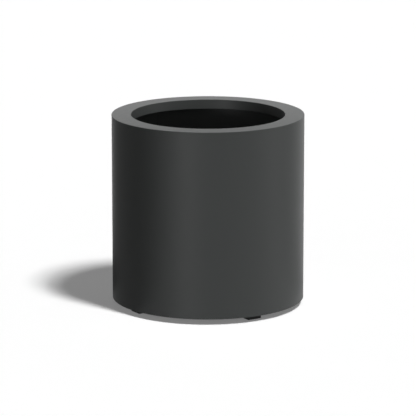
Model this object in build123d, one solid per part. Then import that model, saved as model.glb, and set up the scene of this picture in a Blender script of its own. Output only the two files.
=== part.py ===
from build123d import *
import math
import os

# A round planter in powder-coated aluminium, in millimetres.
# +Z is up, the origin is on the floor below the middle of the planter, and the front foot is towards -Y.

# The shell
outer_diameter = 500.0
overall_height = 500.0
floor_gap = 15.0
wall_thickness = 2.0
sheet_edge_break = 0.4

# The rim: a flat ring on the wall's top edge, and an upright lip under its inner edge
rim_width = 50.0
rim_thickness = 2.0
rim_edge_radius = 0.8
lip_depth = 25.0
lip_thickness = 2.0

# The base plate, set up inside the wall
base_thickness = 3.0
base_recess = 10.0
base_clearance = 0.25
drain_diameter = 25.0
drain_inset = 118.0
outer_drain_count = 4
first_outer_drain = 45.0

# The feet: square moulded blocks, one on each row axis
foot_width = 40.0
foot_inset = 26.0
foot_corner_radius = 3.0
foot_edge_chamfer = 1.0
screw_hole_diameter = 6.6
counterbore_diameter = 14.0
counterbore_depth = 9.0
foot_directions = {"front": -90.0, "right": 0.0, "back": 90.0, "left": 180.0}

# The fasteners: a button-head screw up through each foot, and a lock nut on the plate
shank_diameter = 6.0
shank_tip_chamfer = 0.8
head_diameter = 10.5
head_height = 3.3
head_flat_diameter = 5.6
head_dome_radius = 5.5
socket_across_flats = 4.0
socket_depth = 2.0
thread_protrusion = 1.8
washer_hole_diameter = 6.4
head_washer_diameter = 12.0
head_washer_thickness = 1.6
plate_washer_diameter = 18.0
plate_washer_thickness = 1.6
nut_across_flats = 10.0
nut_height = 6.0
nut_corner_chamfer = 0.6
nut_collar_height = 1.9
nut_collar_diameter = 9.0
insert_diameter = 7.8
nut_bore_clearance = 0.05

# The welds: upright seams, and stitches in the corners
seam_direction = 90.0
seam_width = 6.0
seam_height = 1.2
lip_seam_width = 5.0
lip_seam_height = 1.0
seam_face_gap = 0.2
seam_end_gap = 2.0
stitch_leg = 4.0
lip_stitch_leg = 3.0
stitch_crown = 0.58
stitch_length = 50.0
stitch_count = 12
first_stitch = 15.0

# Levels and radii that follow
outer_radius = outer_diameter / 2
wall_inner_radius = outer_radius - wall_thickness
rim_underside = overall_height - rim_thickness
rim_inner_radius = outer_radius - rim_width
lip_outer_radius = rim_inner_radius + lip_thickness
lip_bottom = overall_height - lip_depth
base_underside = floor_gap + base_recess
base_top = base_underside + base_thickness
base_radius = wall_inner_radius - base_clearance
drain_distance = wall_inner_radius - drain_inset
foot_distance = outer_radius - foot_inset - foot_width / 2
head_washer_underside = counterbore_depth - head_washer_thickness
head_bottom = head_washer_underside - head_height
nut_underside = base_top + plate_washer_thickness
nut_top = nut_underside + nut_height
screw_tip = nut_top + thread_protrusion
nut_bore_radius = shank_diameter / 2 + nut_bore_clearance


def column(radius, bottom, top):
    """A solid cylinder on the vertical axis, from one level to another."""
    base_up = (Align.CENTER, Align.CENTER, Align.MIN)
    return Pos(0, 0, bottom) * Cylinder(radius, top - bottom, align=base_up)


def tube(outside, inside, bottom, top):
    """A round wall on the vertical axis."""
    return column(outside, bottom, top) - column(inside, bottom, top)


def hexagon_bar(across_flats, bottom, top):
    """A hexagonal prism on the vertical axis."""
    section = RegularPolygon(across_flats / 2, 6, major_radius=False)
    return Pos(0, 0, bottom) * extrude(section, top - bottom)


def circles_at_end(solid, end):
    """The round edges at the lowest level (end 0) or the highest (end -1)."""
    return solid.edges().filter_by(GeomType.CIRCLE).group_by(Axis.Z)[end]


def turned(piece, direction, distance=0.0):
    """A piece moved out from the axis, in a direction counted from +X towards +Y."""
    return Rot(0, 0, direction) * Pos(distance, 0, 0) * piece


def in_one_node(pieces):
    """Separate solids that share a node."""
    return Compound([piece.solid() for piece in pieces])


def wall():
    """The rolled cylinder, from above the floor gap to the underside of the rim."""
    shell = tube(outer_radius, wall_inner_radius, floor_gap, rim_underside)
    edge_break = min(sheet_edge_break, 0.4 * wall_thickness)
    return fillet(circles_at_end(shell, 0), edge_break)


def rim_ring():
    """The flat ring on top of the wall, flush with its outside."""
    ring = tube(outer_radius, rim_inner_radius, rim_underside, overall_height)
    edge_radius = min(rim_edge_radius, 0.45 * rim_thickness)
    return fillet(circles_at_end(ring, -1), edge_radius)


def rim_lip():
    """The band under the ring's inner edge, flush with the mouth."""
    band = tube(lip_outer_radius, rim_inner_radius, lip_bottom, rim_underside)
    edge_break = min(sheet_edge_break, 0.4 * lip_thickness)
    return fillet(circles_at_end(band, 0), edge_break)


def drain_places():
    """The middle of each drain hole."""
    step = 360.0 / outer_drain_count
    directions = [first_outer_drain + step * i for i in range(outer_drain_count)]
    return [Pos(0, 0, 0)] + [Rot(0, 0, direction) * Pos(drain_distance, 0, 0) for direction in directions]


def base_plate():
    """The round plate, with its drain holes and a hole for each foot's screw."""
    plate = column(base_radius, base_underside, base_top)
    for place in drain_places():
        plate -= place * column(drain_diameter / 2, base_underside, base_top)
    for direction in foot_directions.values():
        plate -= turned(column(screw_hole_diameter / 2, base_underside, base_top), direction, foot_distance)
    return plate


def foot(direction):
    """A square block under the plate, counterbored from below for its screw."""
    block = extrude(RectangleRounded(foot_width, foot_width, foot_corner_radius), base_underside)
    block = chamfer(block.edges().group_by(Axis.Z)[0], foot_edge_chamfer)
    block -= column(screw_hole_diameter / 2, 0, base_underside)
    block -= column(counterbore_diameter / 2, 0, counterbore_depth)
    return turned(block, direction, foot_distance)


def foot_screw():
    """A button-head screw, head down: a domed head with a hexagon socket, and a plain shank."""
    flat_edge = (head_flat_diameter / 2, head_bottom)
    head_edge = (head_diameter / 2, head_washer_underside)
    dome = RadiusArc(head_edge, flat_edge, head_dome_radius)
    sides = Polyline(flat_edge, (0, head_bottom), (0, head_washer_underside), head_edge)
    head = revolve(Plane.XZ * make_face(dome + sides), Axis.Z)
    head -= hexagon_bar(socket_across_flats, head_bottom, head_bottom + socket_depth)
    shank = column(shank_diameter / 2, head_washer_underside, screw_tip)
    shank = chamfer(circles_at_end(shank, -1), shank_tip_chamfer)
    return head + shank


def head_washer():
    """The washer between the screw's head and the foot."""
    return tube(head_washer_diameter / 2, washer_hole_diameter / 2, head_washer_underside, counterbore_depth)


def plate_washer():
    """The wide washer between the base plate and the nut."""
    return tube(plate_washer_diameter / 2, washer_hole_diameter / 2, base_top, nut_underside)


def lock_nut():
    """A hexagon nut with a round collar, open at the top for its insert."""
    shoulder = nut_top - nut_collar_height
    corner_radius = nut_across_flats / math.sqrt(3)
    rounded = column(corner_radius, nut_underside, shoulder)
    rounded = chamfer(rounded.edges().filter_by(GeomType.CIRCLE), nut_corner_chamfer)
    nut = hexagon_bar(nut_across_flats, nut_underside, shoulder) & rounded
    nut += column(nut_collar_diameter / 2, shoulder, nut_top)
    nut -= column(nut_bore_radius, nut_underside, nut_top)
    nut -= column(insert_diameter / 2, shoulder, nut_top)
    return nut


def nut_insert():
    """The nylon ring in the nut's collar."""
    return tube(insert_diameter / 2, nut_bore_radius, nut_top - nut_collar_height, nut_top)


def at_each_foot(piece):
    """A copy of a fastener at every foot."""
    return in_one_node([turned(piece, direction, foot_distance) for direction in foot_directions.values()])


def upright_bead(face_radius, width, height, bottom, top):
    """A weld bead up a round face: a positive height stands outwards, a negative one inwards."""
    face_radius += math.copysign(seam_face_gap, height)
    half_turn = width / 2 / face_radius
    right = (face_radius * math.cos(half_turn), -face_radius * math.sin(half_turn))
    left = (right[0], -right[1])
    on_face = ThreePointArc(right, (face_radius, 0), left)
    crown = ThreePointArc(left, (face_radius + height, 0), right)
    bead = Pos(0, 0, bottom) * extrude(make_face(on_face + crown), top - bottom)
    return turned(bead, seam_direction)


def corner_beads(face_radius, level, leg, outwards, upwards):
    """Stitches of weld in the corner of a round face and a level plate: each way is 1 or -1."""
    on_plate = (face_radius + outwards * leg, level)
    on_face = (face_radius, level + upwards * leg)
    crown_point = (face_radius + outwards * leg * stitch_crown, level + upwards * leg * stitch_crown)
    sides = Polyline(on_face, (face_radius, level), on_plate)
    crown = ThreePointArc(on_plate, crown_point, on_face)
    sweep = math.degrees(stitch_length / face_radius)
    stitch = revolve(Plane.XZ * make_face(sides + crown), Axis.Z, revolution_arc=sweep)
    step = 360.0 / stitch_count
    starts = [first_stitch - sweep / 2 + step * i for i in range(stitch_count)]
    return in_one_node([turned(stitch, start) for start in starts])


def seam_weld_bead():
    """The wall's seam, proud on the inside only, clear of the stitches at its ends."""
    bottom = base_top + stitch_leg + seam_end_gap
    top = rim_underside - stitch_leg - seam_end_gap
    return upright_bead(wall_inner_radius, seam_width, -seam_height, bottom, top)


def lip_seam_bead():
    """The lip's seam, proud on the side that faces the wall."""
    bottom = lip_bottom + seam_end_gap
    top = rim_underside - lip_stitch_leg - seam_end_gap
    return upright_bead(lip_outer_radius, lip_seam_width, lip_seam_height, bottom, top)


def all_nodes():
    """Every node's name and its solids."""
    nodes = {
        "wall": wall(),
        "rim_ring": rim_ring(),
        "rim_lip": rim_lip(),
        "base_plate": base_plate(),
        "seam_weld_bead": seam_weld_bead(),
        "lip_seam_bead": lip_seam_bead(),
        "base_weld_beads": corner_beads(wall_inner_radius, base_top, stitch_leg, -1, 1),
        "rim_weld_beads": corner_beads(wall_inner_radius, rim_underside, stitch_leg, -1, -1),
        "lip_weld_beads": corner_beads(lip_outer_radius, rim_underside, lip_stitch_leg, 1, -1),
        "foot_screws": at_each_foot(foot_screw()),
        "head_washers": at_each_foot(head_washer()),
        "plate_washers": at_each_foot(plate_washer()),
        "lock_nuts": at_each_foot(lock_nut()),
        "nut_inserts": at_each_foot(nut_insert()),
    }
    for name, direction in foot_directions.items():
        nodes["foot_" + name] = foot(direction)
    return nodes


os.makedirs("parts", exist_ok=True)
for node, solids in all_nodes().items():
    export_step(solids, os.path.join("parts", node + ".step"))
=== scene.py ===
import math

import bmesh
import bpy
from mathutils import Matrix, Vector


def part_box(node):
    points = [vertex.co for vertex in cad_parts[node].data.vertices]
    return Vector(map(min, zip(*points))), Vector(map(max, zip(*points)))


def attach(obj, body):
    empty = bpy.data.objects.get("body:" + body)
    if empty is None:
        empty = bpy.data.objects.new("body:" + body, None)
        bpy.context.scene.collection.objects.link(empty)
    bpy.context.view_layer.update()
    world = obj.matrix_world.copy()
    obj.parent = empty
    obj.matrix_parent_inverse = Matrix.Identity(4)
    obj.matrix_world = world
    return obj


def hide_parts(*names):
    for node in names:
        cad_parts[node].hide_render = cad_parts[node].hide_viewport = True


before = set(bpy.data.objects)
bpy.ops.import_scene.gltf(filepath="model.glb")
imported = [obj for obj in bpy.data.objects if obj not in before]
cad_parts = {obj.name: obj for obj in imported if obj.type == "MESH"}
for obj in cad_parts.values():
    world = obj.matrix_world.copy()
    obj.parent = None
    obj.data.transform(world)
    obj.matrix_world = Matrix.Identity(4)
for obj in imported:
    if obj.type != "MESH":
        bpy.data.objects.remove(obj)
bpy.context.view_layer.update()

# A round planter in dark powder-coated aluminium. Lengths are in metres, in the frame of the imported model:
# +Z is up, the origin is on the floor below the middle, and the front foot is towards -Y.

MM = 0.001
ROOT = "root"
FEET = ("foot_front", "foot_right", "foot_back", "foot_left")

# The shell and the base plate: the sizes that the nodes' boxes don't give
SHEET = 2 * MM
RIM_WIDTH = 50 * MM
RIM_EDGE_RADIUS = 0.8 * MM
SHEET_EDGE_RADIUS = 0.4 * MM
PLATE_EDGE_RADIUS = 0.3 * MM
DRAIN_RADIUS = 12.5 * MM
DRAIN_DISTANCE = 130 * MM
DRAIN_DIRECTIONS = (45, 135, 225, 315)
SCREW_HOLE_RADIUS = 3.3 * MM
SCREW_HOLE_SEGMENTS = 36

# The feet
FOOT_CORNER_RADIUS = 3 * MM
FOOT_SOLE_RADIUS = 1 * MM
FOOT_TOP_RADIUS = 0.4 * MM
FOOT_LEAST_CORNER = 0.2 * MM
COUNTERBORE_RADIUS = 7 * MM
COUNTERBORE_DEPTH = 9 * MM
BORE_EDGE_RADIUS = 0.4 * MM
BORE_STEP_RADIUS = 0.2 * MM

# The fasteners
SHANK_RADIUS = 3 * MM
THREAD_PITCH = 1 * MM
THREAD_DEPTH = 0.55 * MM
THREAD_LENGTH = 10.5 * MM
THREAD_ROOT_SHARE = 0.2
TIP_CHAMFER = 0.8 * MM
HEAD_RADIUS = 5.25 * MM
HEAD_FLAT_RADIUS = 2.8 * MM
HEAD_DOME_RADIUS = 5.5 * MM
HEAD_HEIGHT = 3.3 * MM
SOCKET_WIDTH = 4 * MM
SOCKET_DEPTH = 2 * MM
SOCKET_CHAMFER = 0.15 * MM
WASHER_HOLE_RADIUS = 3.2 * MM
WASHER_EDGE_RADIUS = 0.25 * MM
NUT_WIDTH = 10 * MM
NUT_BORE_RADIUS = 3.05 * MM
NUT_CHAMFER = 0.6 * MM
COLLAR_RADIUS = 4.5 * MM
COLLAR_HEIGHT = 1.9 * MM
COLLAR_EDGE_RADIUS = 0.35 * MM
INSERT_RADIUS = 3.9 * MM
INSERT_EDGE_RADIUS = 0.25 * MM

# The welds
STITCHES = 12
FIRST_STITCH = 15.0
STITCH_LENGTH = 50 * MM
STITCH_LEG = 4 * MM
LIP_STITCH_LEG = 3 * MM
SEAM_DIRECTION = 90.0
SEAM_WIDTH = 6 * MM
SEAM_HEIGHT = 1.2 * MM
LIP_SEAM_WIDTH = 5 * MM
LIP_SEAM_HEIGHT = 1 * MM
SEAM_FACE_GAP = 0.2 * MM
RIPPLE_PITCH = 2.4 * MM
RIPPLE_DEPTH = 0.10
RIPPLE_BOW = 0.45
RINGS_PER_RIPPLE = 6
BEAD_END = 3 * MM
BEAD_END_SIZE = 0.35
CROWN_POWER = 1.57
CROWN_STEPS = 8

# How finely round shapes are divided, how far in the guard points lie, and how meshes are merged and shaded
SHELL_SEGMENTS = 360
SMALL_SEGMENTS = 72
ARC_STEPS = 5
DOME_STEPS = 10
THREAD_STEPS = 8
SQUARE_SIDE_STEPS = 10
SQUARE_CORNER_STEPS = 8
GUARD_SHARE = 0.08
GUARD_MOST = 1.5 * MM
MERGE_DISTANCE = 0.0005 * MM
SHARP_ANGLE = 35.0

# The finishes: each one's mean colour, and how far the mottled ones vary to each side of it
COAT_COLOR = (0.0507, 0.0541, 0.0531)
COAT_MOTTLE = 0.003
PLASTIC_COLOR = (0.009, 0.009, 0.009)
STEEL_COLOR = (0.56, 0.56, 0.55)
NYLON_COLOR = (0.7, 0.69, 0.64)
NYLON_MOTTLE = 0.04

# The sockets of Blender's Mix node that hold colours, which share their names with others
MIX_FIRST_COLOR = 6
MIX_SECOND_COLOR = 7
MIX_COLOR_RESULT = 2

# The camera, fitted to the photograph. Azimuth 0 looks along +Y, and a negative one from further left. The
# distance is level, from the planter's axis, and the pitch is downwards.
IMAGE_SIDE = 416
SENSOR_WIDTH = 36.0
FOCAL_PIXELS = 2991.0
CAMERA_AZIMUTH = -32.5
CAMERA_DISTANCE = 7.6123
CAMERA_HEIGHT = 1.9688
CAMERA_PITCH = 12.725

# The lamps. Azimuths are counted from the camera's, to the right, and all angles are in degrees. Two key
# lamps, one above the other, shape the soft edge of the shadow. The strips show only in gloss.
KEY_AZIMUTH = 44.2
KEY_ELEVATIONS = {"lower_key": 58.6, "upper_key": 64.4}
KEY_STRENGTH = 1.63
KEY_ANGLE = 7.5
STRIP_AZIMUTHS = {"left_strip": -25, "right_strip": 82}
STRIP_STRENGTHS = {"left_strip": 0.98, "right_strip": 0.42}
STRIP_ELEVATION = 5.0
STRIP_ANGLE = 5.0

# The sky and the floor
SKY_STRENGTH = 0.76
SKY_FADE_FROM = 0.0
SKY_FADE_TO = 40.0
FLOOR_HALF = 60.0
FLOOR_BOUNCE = 0.08
FLOOR_GLOW = 0.162

# The cards that show in gloss: the azimuths that each spans, and its profile as points of (radius, height)
CARD_STEPS = 48
CARDS = {
    "left_card": {"span": (-52, -145), "profile": ((0.255, 0.003), (1.5, 0.003), (1.5, 2.0)), "grey": 0.25},
    # This card is a black sheet laid on the floor where the planter's shadow falls: painted shadow, which
    # darkens the shadow where the wall's lower left reflects it.
    "painted_shadow_card": {"span": (-105, -195), "profile": ((0.251, 0.004), (0.6, 0.004)), "grey": 0.0},
    "right_card": {"span": (88, 124), "profile": ((0.32, 0.003), (1.5, 0.003), (1.5, 2.0)), "grey": 0.7},
    "back_card": {"span": (110, 250), "profile": ((0.6, 0.5), (0.6, 0.82)), "grey": 1.3},
    "top_card": {"span": (110, 250), "profile": ((0.6, 0.82), (0.8, 2.5)), "grey": 0.0},
}


def level(node, end):
    """The height of a node's lowest (0) or highest (1) point."""
    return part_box(node)[end].z


def ends(node):
    """The heights of a node's lowest and highest points."""
    return level(node, 0), level(node, 1)


def half_width(node):
    """Half of a node's smaller width."""
    low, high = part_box(node)
    return min(high.x - low.x, high.y - low.y) / 2


def reach(node):
    """How far a round node reaches from the axis on every side."""
    low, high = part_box(node)
    return min(-low.x, high.x, -low.y, high.y)


def shell_radius():
    """The outer radius of the wall and the rim, which are flush."""
    return min(reach("wall"), reach("rim_ring"))


def foot_place(node):
    """Where a foot's middle is on the floor, with the turn that puts its outer side away from the axis."""
    low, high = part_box(node)
    middle = (low + high) / 2
    turn = Matrix.Rotation(math.atan2(middle.y, middle.x), 4, "Z")
    return Matrix.Translation((middle.x, middle.y, 0)) @ turn


def direction(azimuth, elevation=0.0):
    """The unit vector from the middle towards a place at that azimuth and elevation, in degrees."""
    a = math.radians(azimuth)
    e = math.radians(elevation)
    return Vector((math.sin(a) * math.cos(e), -math.cos(a) * math.cos(e), math.sin(e)))


# Meshes. A part is a pair of lists: its points, and its faces as tuples of point numbers.

def skin(rings, closed=True):
    """A part skinned over rings of points. It is closed like a tyre, or has a cap at each end."""
    count = len(rings[0])
    points = [Vector(p) for ring in rings for p in ring]
    faces = []
    for i in range(len(rings) if closed else len(rings) - 1):
        here = i * count
        onwards = (i + 1) % len(rings) * count
        for k in range(count):
            beside = (k + 1) % count
            faces.append((here + k, here + beside, onwards + beside, onwards + k))
    if not closed:
        for start in (0, (len(rings) - 1) * count):
            ring = points[start:start + count]
            points.append(sum(ring, Vector()) / count)
            centre = len(points) - 1
            faces += [(start + k, start + (k + 1) % count, centre) for k in range(count)]
    return points, faces


def moved(part, place):
    """A copy of a part at another place."""
    points, faces = part
    return [place @ p for p in points], faces


def new_piece(name, parts, slot, finish, *nodes):
    """A piece made of parts, which stands for CAD nodes. Its slot argument is not used."""
    points = []
    faces = []
    for part_points, part_faces in parts:
        start = len(points)
        points += part_points
        faces += [tuple(start + i for i in face) for face in part_faces]
    mesh = bpy.data.meshes.new(name)
    mesh.from_pydata(points, [], faces)
    shape = bmesh.new()
    shape.from_mesh(mesh)
    bmesh.ops.remove_doubles(shape, verts=shape.verts, dist=MERGE_DISTANCE)
    bmesh.ops.recalc_face_normals(shape, faces=shape.faces)
    shape.to_mesh(mesh)
    shape.free()
    piece = bpy.data.objects.new(name, mesh)
    bpy.context.scene.collection.objects.link(piece)
    mesh.shade_smooth()
    mesh.set_sharp_from_angle(angle=math.radians(SHARP_ANGLE))
    mesh.materials.append(finish)
    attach(piece, ROOT)
    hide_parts(*nodes)


def rounded_outline(corners):
    """A closed outline through corners given as (x, y, radius). Each corner is an arc, or a point where its
    radius is 0. Each straight side has a guard point near each end, which keeps the side's shading flat."""
    points = []
    count = len(corners)
    for i, (x, y, radius) in enumerate(corners):
        here = Vector((x, y))
        before = Vector(corners[i - 1][:2])
        after = Vector(corners[(i + 1) % count][:2])
        inwards = (before - here).normalized()
        onwards = (after - here).normalized()
        angle = inwards.angle(onwards)
        setback = radius / math.tan(angle / 2)
        guard_in = min(GUARD_SHARE * (before - here).length, GUARD_MOST)
        guard_on = min(GUARD_SHARE * (after - here).length, GUARD_MOST)
        points.append(here + inwards * (setback + guard_in))
        if radius == 0:
            points.append(here)
        else:
            middle = here + (inwards + onwards).normalized() * (radius / math.sin(angle / 2))
            start = here + inwards * setback - middle
            turn = math.pi - angle
            way = 1 if inwards.cross(onwards) < 0 else -1
            for step in range(ARC_STEPS + 1):
                a = way * turn * step / ARC_STEPS
                points.append(middle + Matrix.Rotation(a, 2) @ start)
        points.append(here + onwards * (setback + guard_on))
    return points


def circle(radius, height, segments):
    """A level ring of points."""
    turns = [2 * math.pi * i / segments for i in range(segments)]
    return [(radius * math.cos(a), radius * math.sin(a), height) for a in turns]


def lathe(corners, segments=SMALL_SEGMENTS):
    """A closed ring: an outline of (radius, height, corner radius) turned round the vertical axis."""
    return skin([circle(p.x, p.y, segments) for p in rounded_outline(corners)])


def band(inside, outside, bottom, top, bottom_radius, top_radius, segments=SMALL_SEGMENTS):
    """A round band of rectangular section, with its lower and upper edges rounded."""
    corners = [
        (inside, bottom, bottom_radius),
        (outside, bottom, bottom_radius),
        (outside, top, top_radius),
        (inside, top, top_radius),
    ]
    return lathe(corners, segments)


# Materials

def bare_material(name):
    """A new material without a shader, with its nodes and links."""
    made = bpy.data.materials.new(name)
    made.use_nodes = True
    nodes = made.node_tree.nodes
    nodes.remove(nodes["Principled BSDF"])
    return made, nodes, made.node_tree.links


def material(name, base_color, roughness, specular=0.5):
    """A new material, with its nodes, links and shader. The colour and roughness are the shader's own
    values, which a viewer shows where it can't read the nodes that are linked over them."""
    made = bpy.data.materials.new(name)
    made.use_nodes = True
    nodes = made.node_tree.nodes
    links = made.node_tree.links
    shader = nodes["Principled BSDF"]
    shader.inputs["Base Color"].default_value = (*base_color, 1)
    shader.inputs["Roughness"].default_value = roughness
    shader.inputs["Specular IOR Level"].default_value = specular
    return made, nodes, links, shader


def noise(nodes, links, scale, detail=2.0):
    """Noise in the object's own space, with about so many cells to the metre as the scale."""
    place = nodes.new("ShaderNodeTexCoord")
    texture = nodes.new("ShaderNodeTexNoise")
    texture.inputs["Scale"].default_value = scale
    texture.inputs["Detail"].default_value = detail
    links.new(place.outputs["Object"], texture.inputs["Vector"])
    return texture.outputs["Fac"]


def spread(nodes, links, value, low, high):
    """A 0 to 1 value, moved to the range from low to high."""
    node = nodes.new("ShaderNodeMapRange")
    node.inputs["To Min"].default_value = low
    node.inputs["To Max"].default_value = high
    links.new(value, node.inputs["Value"])
    return node.outputs["Result"]


def bump(nodes, links, shader, height, distance, strength):
    """A bump from a height value."""
    node = nodes.new("ShaderNodeBump")
    node.inputs["Distance"].default_value = distance
    node.inputs["Strength"].default_value = strength
    links.new(height, node.inputs["Height"])
    links.new(node.outputs["Normal"], shader.inputs["Normal"])


def mottled(nodes, links, shader, value, color, amount):
    """A base colour that a 0 to 1 value moves from an amount darker to the same amount lighter."""
    mix = nodes.new("ShaderNodeMix")
    mix.data_type = "RGBA"
    mix.inputs[MIX_FIRST_COLOR].default_value = (*[part - amount for part in color], 1)
    mix.inputs[MIX_SECOND_COLOR].default_value = (*[part + amount for part in color], 1)
    links.new(value, mix.inputs[0])
    links.new(mix.outputs[MIX_COLOR_RESULT], shader.inputs["Base Color"])


def either(nodes, links, first, second):
    """1 where either of two values is 1."""
    node = nodes.new("ShaderNodeMath")
    node.operation = "MAXIMUM"
    links.new(first, node.inputs[0])
    links.new(second, node.inputs[1])
    return node.outputs[0]


def mixed(nodes, links, share, first, second):
    """Two shaders mixed: the second one's share is a number or another node's output."""
    node = nodes.new("ShaderNodeMixShader")
    if isinstance(share, float):
        node.inputs[0].default_value = share
    else:
        links.new(share, node.inputs[0])
    links.new(first, node.inputs[1])
    links.new(second, node.inputs[2])
    return node.outputs[0]


def powder_coat():
    """Dark satin powder coat: a faint orange peel, with a little mottling in its colour and its gloss."""
    made, nodes, links, shader = material("dark_powder_coat", COAT_COLOR, roughness=0.44, specular=0.22)
    mottled(nodes, links, shader, noise(nodes, links, scale=420), COAT_COLOR, COAT_MOTTLE)
    gloss = spread(nodes, links, noise(nodes, links, scale=90), low=0.41, high=0.47)
    links.new(gloss, shader.inputs["Roughness"])
    peel = noise(nodes, links, scale=800, detail=3)
    bump(nodes, links, shader, peel, distance=0.06 * MM, strength=0.5)
    return made


def black_plastic():
    """Black moulded plastic with a fine grain."""
    name = "black_moulded_plastic"
    made, nodes, links, shader = material(name, PLASTIC_COLOR, roughness=0.5, specular=0.2)
    gloss = spread(nodes, links, noise(nodes, links, scale=300), low=0.44, high=0.58)
    links.new(gloss, shader.inputs["Roughness"])
    grain = noise(nodes, links, scale=2200)
    bump(nodes, links, shader, grain, distance=0.04 * MM, strength=0.4)
    return made


def stainless():
    """Stainless steel with fine marks."""
    made, nodes, links, shader = material("stainless_steel", STEEL_COLOR, roughness=0.3)
    shader.inputs["Metallic"].default_value = 1.0
    gloss = spread(nodes, links, noise(nodes, links, scale=1500), low=0.24, high=0.4)
    links.new(gloss, shader.inputs["Roughness"])
    marks = noise(nodes, links, scale=4000)
    bump(nodes, links, shader, marks, distance=0.01 * MM, strength=0.3)
    return made


def nylon():
    """Natural nylon, faintly clouded."""
    made, nodes, links, shader = material("natural_nylon", NYLON_COLOR, roughness=0.4)
    mottled(nodes, links, shader, noise(nodes, links, scale=600), NYLON_COLOR, NYLON_MOTTLE)
    grain = noise(nodes, links, scale=3000)
    bump(nodes, links, shader, grain, distance=0.02 * MM, strength=0.3)
    return made


def white_floor():
    """A floor that is white in view, in gloss and through glass, and keeps the shadow. To any other ray it
    is nearly black, so that it throws little light up. It is clear from below."""
    made, nodes, links = bare_material("floor")
    path = nodes.new("ShaderNodeLightPath")
    seen = either(nodes, links, path.outputs["Is Camera Ray"], path.outputs["Is Glossy Ray"])
    seen = either(nodes, links, seen, path.outputs["Is Transmission Ray"])
    plain = nodes.new("ShaderNodeBsdfDiffuse")
    plain.inputs["Color"].default_value = (FLOOR_BOUNCE, FLOOR_BOUNCE, FLOOR_BOUNCE, 1)
    white = nodes.new("ShaderNodeBsdfDiffuse")
    white.inputs["Color"].default_value = (1, 1, 1, 1)
    glow = nodes.new("ShaderNodeEmission")
    in_view = mixed(nodes, links, FLOOR_GLOW, white.outputs[0], glow.outputs[0])
    from_above = mixed(nodes, links, seen, plain.outputs[0], in_view)
    clear = nodes.new("ShaderNodeBsdfTransparent")
    side = nodes.new("ShaderNodeNewGeometry")
    surface = mixed(nodes, links, side.outputs["Backfacing"], from_above, clear.outputs[0])
    links.new(surface, nodes["Material Output"].inputs["Surface"])
    return made


def card_grey(name, grey):
    """An even grey that needs no light."""
    made, nodes, links = bare_material(name)
    even = nodes.new("ShaderNodeEmission")
    even.inputs["Strength"].default_value = grey
    links.new(even.outputs[0], nodes["Material Output"].inputs["Surface"])
    return made


# The stage

def make_camera():
    """The camera at the photograph's place, level from side to side."""
    data = bpy.data.cameras.new("camera")
    data.sensor_width = SENSOR_WIDTH
    data.lens = SENSOR_WIDTH * FOCAL_PIXELS / IMAGE_SIDE
    camera = bpy.data.objects.new("camera", data)
    bpy.context.scene.collection.objects.link(camera)
    camera.location = direction(CAMERA_AZIMUTH) * CAMERA_DISTANCE + Vector((0, 0, CAMERA_HEIGHT))
    camera.rotation_euler = (math.radians(90 - CAMERA_PITCH), 0, math.radians(CAMERA_AZIMUTH))
    bpy.context.scene.camera = camera


def stage_piece(name, points, faces, finish):
    """A surface that isn't part of the object."""
    mesh = bpy.data.meshes.new(name)
    mesh.from_pydata(points, [], faces)
    mesh.materials.append(finish)
    piece = bpy.data.objects.new(name, mesh)
    bpy.context.scene.collection.objects.link(piece)
    return piece


def make_floor():
    """A wide white floor under the feet."""
    half = FLOOR_HALF
    corners = [(-half, -half, 0), (half, -half, 0), (half, half, 0), (-half, half, 0)]
    stage_piece("floor", corners, [(0, 1, 2, 3)], white_floor())


def make_card(name, span, profile, grey):
    """A curved card over a span of azimuths. It shows only in gloss, so that it shapes the reflections and
    throws no light or shade."""
    first, last = span
    points = []
    for i in range(CARD_STEPS + 1):
        out = direction(CAMERA_AZIMUTH + first + (last - first) * i / CARD_STEPS)
        points += [out * radius + Vector((0, 0, height)) for radius, height in profile]
    row = len(profile)
    faces = []
    for i in range(CARD_STEPS):
        for k in range(i * row, i * row + row - 1):
            faces.append((k, k + 1, k + 1 + row, k + row))
    card = stage_piece(name, points, faces, card_grey(name, grey))
    card.visible_camera = False
    card.visible_diffuse = False
    card.visible_shadow = False
    card.visible_transmission = False


def make_lamp(name, azimuth, elevation, strength, angle):
    """A far lamp, made softer by a larger angle."""
    data = bpy.data.lights.new(name, "SUN")
    data.energy = strength
    data.angle = math.radians(angle)
    lamp = bpy.data.objects.new(name, data)
    bpy.context.scene.collection.objects.link(lamp)
    lamp.rotation_mode = "QUATERNION"
    lamp.rotation_quaternion = direction(CAMERA_AZIMUTH + azimuth, elevation).to_track_quat("Z", "Y")
    return lamp


def make_sky():
    """A pale sky, brighter near the horizon. It is white in view, in gloss and through glass."""
    world = bpy.data.worlds.new("sky")
    bpy.context.scene.world = world
    world.use_nodes = True
    nodes = world.node_tree.nodes
    links = world.node_tree.links
    place = nodes.new("ShaderNodeTexCoord")
    height = nodes.new("ShaderNodeSeparateXYZ")
    links.new(place.outputs["Generated"], height.inputs[0])
    fade = nodes.new("ShaderNodeMapRange")
    fade.interpolation_type = "SMOOTHSTEP"
    fade.inputs["From Min"].default_value = math.sin(math.radians(SKY_FADE_FROM))
    fade.inputs["From Max"].default_value = math.sin(math.radians(SKY_FADE_TO))
    fade.inputs["To Min"].default_value = SKY_STRENGTH
    fade.inputs["To Max"].default_value = 0.0
    links.new(height.outputs["Z"], fade.inputs["Value"])
    path = nodes.new("ShaderNodeLightPath")
    seen = either(nodes, links, path.outputs["Is Camera Ray"], path.outputs["Is Glossy Ray"])
    seen = either(nodes, links, seen, path.outputs["Is Transmission Ray"])
    strength = nodes.new("ShaderNodeMapRange")
    links.new(seen, strength.inputs["Value"])
    links.new(fade.outputs["Result"], strength.inputs["To Min"])
    strength.inputs["To Max"].default_value = 1.0
    background = nodes["Background"]
    background.inputs["Color"].default_value = (1, 1, 1, 1)
    links.new(strength.outputs["Result"], background.inputs["Strength"])


# The planter's shell

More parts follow.
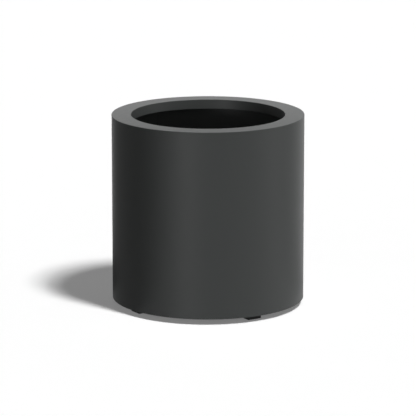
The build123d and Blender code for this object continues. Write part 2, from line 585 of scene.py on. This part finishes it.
def make_shell(coat):
    """The wall, the rim's ring and its lip."""
    outside = shell_radius()
    inside = outside - RIM_WIDTH
    wall = band(outside - SHEET, outside, *ends("wall"), SHEET_EDGE_RADIUS, 0, SHELL_SEGMENTS)
    ring = band(inside, outside, *ends("rim_ring"), 0, RIM_EDGE_RADIUS, SHELL_SEGMENTS)
    lip = band(inside, inside + SHEET, *ends("rim_lip"), SHEET_EDGE_RADIUS, 0, SHELL_SEGMENTS)
    new_piece("planter_wall", [wall], "powder_coat", coat, "wall")
    new_piece("planter_rim", [ring], "powder_coat", coat, "rim_ring")
    new_piece("planter_lip", [lip], "powder_coat", coat, "rim_lip")


def edge_rings(radius, edge, middle, bottom, top, segments, widens):
    """The rings of points round one edge of a plate, from its top face down to its bottom face. Where it
    meets the faces, a hole's edge widens, and the plate's own edge draws in."""
    way = 1 if widens else -1
    rings = []
    guard = 2 * edge
    profile = [(guard, top)]
    for step in range(ARC_STEPS + 1):
        a = math.pi / 2 * step / ARC_STEPS
        profile.append((edge * (1 - math.sin(a)), top - edge * (1 - math.cos(a))))
    for offset, height in list(reversed(profile)):
        profile.append((offset, bottom + top - height))
    for offset, height in profile:
        ring = circle(radius + way * offset, height, segments)
        rings.append([Vector(p) + middle for p in ring])
    return rings


def plate_with_holes(outline, holes, bottom, top, edge):
    """A flat plate with rounded edges. Its outline and holes are circles, as (middle, radius, segments)."""
    shape = bmesh.new()
    top_loops = []
    bottom_loops = []
    for i, (middle, radius, segments) in enumerate([outline] + holes):
        rings = edge_rings(radius, edge, middle, bottom, top, segments, widens=i > 0)
        made = [[shape.verts.new(p) for p in ring] for ring in rings]
        for upper, lower in zip(made, made[1:]):
            for k in range(segments):
                beside = (k + 1) % segments
                shape.faces.new((upper[k], upper[beside], lower[beside], lower[k]))
        top_loops.append(made[0])
        bottom_loops.append(made[-1])
    for loops in (top_loops, bottom_loops):
        edges = []
        for loop in loops:
            for k, vertex in enumerate(loop):
                edges.append(shape.edges.get((vertex, loop[(k + 1) % len(loop)])))
        bmesh.ops.triangle_fill(shape, use_beauty=True, edges=edges)
    shape.verts.index_update()
    points = [v.co.copy() for v in shape.verts]
    faces = [tuple(v.index for v in f.verts) for f in shape.faces]
    shape.free()
    return points, faces


def make_base_plate(coat):
    """The base plate, with its drain holes and the holes for the feet's screws."""
    origin = Vector((0, 0, 0))
    holes = [(origin, DRAIN_RADIUS, SMALL_SEGMENTS)]
    for turn in DRAIN_DIRECTIONS:
        a = math.radians(turn)
        holes.append((Vector((math.cos(a), math.sin(a), 0)) * DRAIN_DISTANCE, DRAIN_RADIUS, SMALL_SEGMENTS))
    for node in FEET:
        holes.append((foot_place(node).translation, SCREW_HOLE_RADIUS, SCREW_HOLE_SEGMENTS))
    outline = (origin, reach("base_plate"), SHELL_SEGMENTS)
    plate = plate_with_holes(outline, holes, *ends("base_plate"), PLATE_EDGE_RADIUS)
    new_piece("planter_base", [plate], "powder_coat", coat, "base_plate")


# The feet and their fasteners

def square_ring(half, radius, height):
    """A level square ring of points with round corners, which starts at +X."""
    points = []
    for quarter in range(4):
        turn = Matrix.Rotation(math.pi / 2 * quarter, 3, "Z")
        straight = half - radius
        quarter_points = []
        for i in range(SQUARE_SIDE_STEPS):
            quarter_points.append((half, straight * i / SQUARE_SIDE_STEPS))
        for i in range(SQUARE_CORNER_STEPS + 1):
            a = math.pi / 2 * i / SQUARE_CORNER_STEPS
            quarter_points.append((straight + radius * math.cos(a), straight + radius * math.sin(a)))
        for i in range(1, SQUARE_SIDE_STEPS):
            quarter_points.append((straight * (1 - i / SQUARE_SIDE_STEPS), half))
        points += [turn @ Vector((x, y, height)) for x, y in quarter_points]
    return points


def foot_ring(size, height, half):
    """One level ring of a foot. It is square towards the foot's sides and round towards its bore, with its
    points in the same directions."""
    if size > COUNTERBORE_RADIUS + GUARD_MOST:
        radius = max(FOOT_CORNER_RADIUS - (half - size), FOOT_LEAST_CORNER)
        return square_ring(size, radius, height)
    around = square_ring(half, FOOT_CORNER_RADIUS, 0)
    return [Vector((p.x, p.y, 0)).normalized() * size + Vector((0, 0, height)) for p in around]


def foot_block():
    """A square block with rounded edges, counterbored from below, with its middle on the axis."""
    half = half_width(FEET[0])
    top = level(FEET[0], 1)
    corners = [
        (COUNTERBORE_RADIUS, 0, BORE_EDGE_RADIUS),
        (half, 0, FOOT_SOLE_RADIUS),
        (half, top, FOOT_TOP_RADIUS),
        (SCREW_HOLE_RADIUS, top, 0),
        (SCREW_HOLE_RADIUS, COUNTERBORE_DEPTH, BORE_STEP_RADIUS),
        (COUNTERBORE_RADIUS, COUNTERBORE_DEPTH, 0),
    ]
    return skin([foot_ring(p.x, p.y, half) for p in rounded_outline(corners)])


def hexagon(width, height, greatest=None):
    """A level hexagonal ring of points, with a corner at +X. Its corners are cut to a greatest radius,
    where one is given."""
    points = []
    for i in range(SMALL_SEGMENTS):
        a = 2 * math.pi * i / SMALL_SEGMENTS
        radius = width / 2 / math.cos(a % (math.pi / 3) - math.pi / 6)
        if greatest is not None:
            radius = min(radius, greatest)
        points.append((radius * math.cos(a), radius * math.sin(a), height))
    return points


def socket_and_head(bottom):
    """The rings of a button head, from the socket's floor out to the flat and over the dome."""
    top = bottom + HEAD_HEIGHT
    rings = [
        hexagon(SOCKET_WIDTH, bottom + SOCKET_DEPTH),
        hexagon(SOCKET_WIDTH, bottom + SOCKET_CHAMFER),
        hexagon(SOCKET_WIDTH + 2 * SOCKET_CHAMFER, bottom),
    ]
    flat_edge = Vector((HEAD_FLAT_RADIUS, bottom))
    head_edge = Vector((HEAD_RADIUS, top))
    chord = head_edge - flat_edge
    rise = math.sqrt(HEAD_DOME_RADIUS ** 2 - chord.length_squared / 4)
    middle = (flat_edge + head_edge) / 2 + Vector((-chord.y, chord.x)).normalized() * rise
    start = math.atan2(flat_edge.y - middle.y, flat_edge.x - middle.x)
    end = math.atan2(head_edge.y - middle.y, head_edge.x - middle.x)
    for step in range(DOME_STEPS + 1):
        a = start + (end - start) * step / DOME_STEPS
        radius = middle.x + HEAD_DOME_RADIUS * math.cos(a)
        rings.append(circle(radius, middle.y + HEAD_DOME_RADIUS * math.sin(a), SMALL_SEGMENTS))
    rings.append(circle(SHANK_RADIUS, top, SMALL_SEGMENTS))
    return rings


def thread_ring(height, tip):
    """One level ring of the thread: its crest winds round the shank, and its end is chamfered."""
    points = []
    for i in range(SMALL_SEGMENTS):
        share = i / SMALL_SEGMENTS
        phase = (height / THREAD_PITCH - share) % 1.0
        depth = THREAD_DEPTH * min(1.0, (1 - abs(2 * phase - 1)) / (1 - THREAD_ROOT_SHARE))
        radius = min(SHANK_RADIUS - depth, SHANK_RADIUS - TIP_CHAMFER + tip - height)
        a = 2 * math.pi * share
        points.append((radius * math.cos(a), radius * math.sin(a), height))
    return points


def screw():
    """A button-head screw, head down, with its thread at the top end."""
    bottom, tip = ends("foot_screws")
    rings = socket_and_head(bottom)
    steps = round(THREAD_LENGTH / THREAD_PITCH * THREAD_STEPS)
    start = tip - THREAD_LENGTH
    rings.append(circle(SHANK_RADIUS, start - THREAD_PITCH, SMALL_SEGMENTS))
    for step in range(steps + 1):
        rings.append(thread_ring(start + THREAD_LENGTH * step / steps, tip))
    return skin(rings, closed=False)


def nut():
    """A hexagon nut with chamfered corners and a round collar, hollow for its insert."""
    bottom, top = ends("lock_nuts")
    shoulder = top - COLLAR_HEIGHT
    corner_radius = NUT_WIDTH / math.sqrt(3)
    bearing_radius = corner_radius - NUT_CHAMFER
    bottom_face = hexagon(NUT_WIDTH, bottom, bearing_radius)
    top_face = hexagon(NUT_WIDTH, shoulder, bearing_radius)
    lower = []
    upper = []
    for full in hexagon(NUT_WIDTH, 0):
        rise = max(0.0, math.hypot(full[0], full[1]) - bearing_radius)
        lower.append((full[0], full[1], bottom + rise))
        upper.append((full[0], full[1], shoulder - rise))
    rings = [circle(NUT_BORE_RADIUS, bottom, SMALL_SEGMENTS), bottom_face, lower, upper, top_face]
    rings.append(circle(COLLAR_RADIUS, shoulder, SMALL_SEGMENTS))
    for step in range(ARC_STEPS + 1):
        a = math.pi / 2 * step / ARC_STEPS
        radius = COLLAR_RADIUS - COLLAR_EDGE_RADIUS * (1 - math.cos(a))
        height = top - COLLAR_EDGE_RADIUS * (1 - math.sin(a))
        rings.append(circle(radius, height, SMALL_SEGMENTS))
    rings.append(circle(INSERT_RADIUS, top, SMALL_SEGMENTS))
    rings.append(circle(INSERT_RADIUS, shoulder, SMALL_SEGMENTS))
    rings.append(circle(NUT_BORE_RADIUS, shoulder, SMALL_SEGMENTS))
    return skin(rings)


def insert():
    """The nylon ring in the nut's collar."""
    return band(NUT_BORE_RADIUS, INSERT_RADIUS, *ends("nut_inserts"), 0, INSERT_EDGE_RADIUS)


def washer(node):
    """A flat washer with its punched edges rounded."""
    return band(WASHER_HOLE_RADIUS, one_radius(node), *ends(node), WASHER_EDGE_RADIUS, WASHER_EDGE_RADIUS)


def one_radius(node):
    """The radius of one of a node's four like pieces: how far the node reaches past the feet's middles."""
    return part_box(node)[1].x - foot_place("foot_right").translation.length


def make_feet(plastic, steel, insert_plastic):
    """The four feet, and each kind of fastener as one piece."""
    block = foot_block()
    for node in FEET:
        new_piece("planter_" + node, [moved(block, foot_place(node))], "foot_plastic", plastic, node)
    fasteners = {
        "button_screws": (screw(), "stainless", steel, "foot_screws"),
        "screw_washers": (washer("head_washers"), "stainless", steel, "head_washers"),
        "nut_washers": (washer("plate_washers"), "stainless", steel, "plate_washers"),
        "collar_nuts": (nut(), "stainless", steel, "lock_nuts"),
        "nylon_rings": (insert(), "nylon", insert_plastic, "nut_inserts"),
    }
    for name, (part, slot, finish, node) in fasteners.items():
        copies = [moved(part, foot_place(foot)) for foot in FEET]
        new_piece(name, copies, slot, finish, node)


# The welds

def ripple(along, across):
    """How high a weld's surface is, as a share of its full height: ripples with sharp, bowed valleys."""
    phase = along / RIPPLE_PITCH + RIPPLE_BOW * across * across
    return 1 - RIPPLE_DEPTH * (1 - abs(math.sin(math.pi * phase)))


def end_size(along, length):
    """The share of its full size that a bead has, which falls off towards its two ends."""
    left = min(along, length - along)
    if left >= BEAD_END:
        return 1.0
    gone = 1 - left / BEAD_END
    return BEAD_END_SIZE + (1 - BEAD_END_SIZE) * math.sqrt(max(0.0, 1 - gone * gone))


def corner_section(leg, along, length):
    """A fillet weld's section, as (out, up) from the corner."""
    size = leg * end_size(along, length)
    points = [(0.0, 0.0)]
    for step in range(CROWN_STEPS + 1):
        share = step / CROWN_STEPS
        across = 2 * share - 1
        height = size * ripple(along, across)
        out = math.cos(math.pi / 2 * share)
        up = math.sin(math.pi / 2 * share)
        points.append((height * max(out, 0.0) ** CROWN_POWER, height * up ** CROWN_POWER))
    return points


def seam_section(width, height, along, length):
    """An upright seam's section, as (across, out) from the middle of its foot."""
    size = end_size(along, length)
    points = []
    for step in range(CROWN_STEPS + 1):
        across = 2 * step / CROWN_STEPS - 1
        out = height * size * (1 - across * across) * ripple(along, across)
        points.append((width / 2 * size * across, out))
    return points


def bead(length, section, place):
    """A weld bead: its section at even steps along its length, each point put in place."""
    steps = round(length / RIPPLE_PITCH * RINGS_PER_RIPPLE)
    rings = []
    for i in range(steps + 1):
        along = length * i / steps
        rings.append([place(along, u, v) for u, v in section(along)])
    return skin(rings, closed=False)


def stitches(face_radius, height, leg, outwards, upwards):
    """Stitches of weld in the corner of a round face and a level plate: each way is 1 or -1."""
    def section(along):
        return corner_section(leg, along, STITCH_LENGTH)

    def place(along, out, up):
        a = (along - STITCH_LENGTH / 2) / face_radius
        radius = face_radius + outwards * out
        return (radius * math.cos(a), radius * math.sin(a), height + upwards * up)

    stitch = bead(STITCH_LENGTH, section, place)
    turns = [math.radians(FIRST_STITCH + 360 / STITCHES * i) for i in range(STITCHES)]
    return [moved(stitch, Matrix.Rotation(turn, 4, "Z")) for turn in turns]


def seam(node, face_radius, width, height, outwards):
    """An upright weld on a round face: outwards is 1, or -1 where it stands inwards."""
    bottom, top = ends(node)
    foot_radius = face_radius + outwards * SEAM_FACE_GAP

    def section(along):
        return seam_section(width, height, along, top - bottom)

    def place(along, across, out):
        a = math.radians(SEAM_DIRECTION) + across / foot_radius
        radius = foot_radius + outwards * out
        return (radius * math.cos(a), radius * math.sin(a), bottom + along)

    return bead(top - bottom, section, place)


def make_welds(coat):
    """Every weld of the shell."""
    wall_inside = shell_radius() - SHEET
    lip_outside = reach("rim_lip")
    under_rim = level("rim_ring", 0)
    base_top = level("base_plate", 1)
    wall_seam = seam("seam_weld_bead", wall_inside, SEAM_WIDTH, SEAM_HEIGHT, -1)
    lip_seam = seam("lip_seam_bead", lip_outside, LIP_SEAM_WIDTH, LIP_SEAM_HEIGHT, 1)
    welds = {
        "base_welds": (stitches(wall_inside, base_top, STITCH_LEG, -1, 1), "base_weld_beads"),
        "rim_welds": (stitches(wall_inside, under_rim, STITCH_LEG, -1, -1), "rim_weld_beads"),
        "lip_welds": (stitches(lip_outside, under_rim, LIP_STITCH_LEG, 1, -1), "lip_weld_beads"),
        "wall_seam": ([wall_seam], "seam_weld_bead"),
        "lip_seam": ([lip_seam], "lip_seam_bead"),
    }
    for name, (parts, node) in welds.items():
        new_piece(name, parts, "powder_coat", coat, node)


bpy.context.scene.view_settings.view_transform = "Standard"
make_camera()
make_floor()
for name, card in CARDS.items():
    make_card(name, card["span"], card["profile"], card["grey"])
for name, elevation in KEY_ELEVATIONS.items():
    make_lamp(name, KEY_AZIMUTH, elevation, KEY_STRENGTH, KEY_ANGLE)
for name, azimuth in STRIP_AZIMUTHS.items():
    strip = make_lamp(name, azimuth, STRIP_ELEVATION, STRIP_STRENGTHS[name], STRIP_ANGLE)
    strip.visible_diffuse = False
make_sky()

coat = powder_coat()
make_shell(coat)
make_base_plate(coat)
make_feet(black_plastic(), stainless(), nylon())
make_welds(coat)
